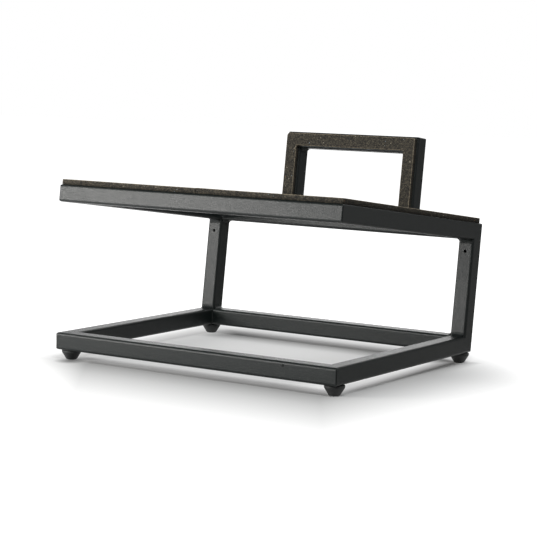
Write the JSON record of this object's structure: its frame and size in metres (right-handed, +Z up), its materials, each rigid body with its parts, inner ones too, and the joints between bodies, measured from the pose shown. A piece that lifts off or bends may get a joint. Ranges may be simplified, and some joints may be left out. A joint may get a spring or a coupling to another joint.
{
  "type": "speaker stand",
  "caption": "Low floor speaker stand of welded square tube: base ring, leaning rear uprights, tilted open seat frame and backrest faced with cork-rubber, on screw-in cone feet.",
  "frame": {"origin": "on the floor, under the middle of the stand's overall outline", "axes": "+Z up, +X to the stand's right, front of the stand at -Y; the stand is the same on both sides of X = 0"},
  "size_m": [0.38, 0.3516, 0.2588],
  "materials": {
    "frame_paint": "matte black powder coat, fine grain",
    "cork_rubber": "matte cork-rubber with fine light and rust flecks",
    "foot_rubber": "satin black hard rubber",
    "zinc_steel": "bright zinc plate",
    "plug_plastic": "matte black moulded"
  },
  "bodies": {
    "stand": {"base_front_bar": "frame_paint", "base_rear_bar": "frame_paint", "left_base_bar": "frame_paint", "right_base_bar": "frame_paint", "left_upright": "frame_paint", "right_upright": "frame_paint", "seat_front_rail": "frame_paint", "seat_rear_rail": "frame_paint", "left_seat_rail": "frame_paint", "right_seat_rail": "frame_paint", "backrest_left_post": "frame_paint", "backrest_right_post": "frame_paint", "backrest_top_bar": "frame_paint", "base_corner_welds": "frame_paint", "upright_foot_welds": "frame_paint", "upright_head_welds": "frame_paint", "seat_corner_welds": "frame_paint", "backrest_welds": "frame_paint", "seat_pad_left": "cork_rubber", "seat_pad_right": "cork_rubber", "backrest_pad": "cork_rubber", "backrest_left_plug": "plug_plastic", "backrest_right_plug": "plug_plastic", "front_left_foot_insert": "zinc_steel", "front_right_foot_insert": "zinc_steel", "rear_left_foot_insert": "zinc_steel", "rear_right_foot_insert": "zinc_steel"},
    "front_left_levelling_foot": {"front_left_foot": "foot_rubber", "front_left_foot_stud": "zinc_steel"},
    "front_right_levelling_foot": {"front_right_foot": "foot_rubber", "front_right_foot_stud": "zinc_steel"},
    "rear_left_levelling_foot": {"rear_left_foot": "foot_rubber", "rear_left_foot_stud": "zinc_steel"},
    "rear_right_levelling_foot": {"rear_right_foot": "foot_rubber", "rear_right_foot_stud": "zinc_steel"}
  },
  "joints": [
    {"name": "front_left_foot_screw", "type": "slide", "parent": "stand", "child": "front_left_levelling_foot", "axis": [0, 0, -1], "range_m": [0, 0.005]},
    {"name": "front_right_foot_screw", "type": "slide", "parent": "stand", "child": "front_right_levelling_foot", "axis": [0, 0, -1], "range_m": [0, 0.005]},
    {"name": "rear_left_foot_screw", "type": "slide", "parent": "stand", "child": "rear_left_levelling_foot", "axis": [0, 0, -1], "range_m": [0, 0.005]},
    {"name": "rear_right_foot_screw", "type": "slide", "parent": "stand", "child": "rear_right_levelling_foot", "axis": [0, 0, -1], "range_m": [0, 0.005]}
  ]
}
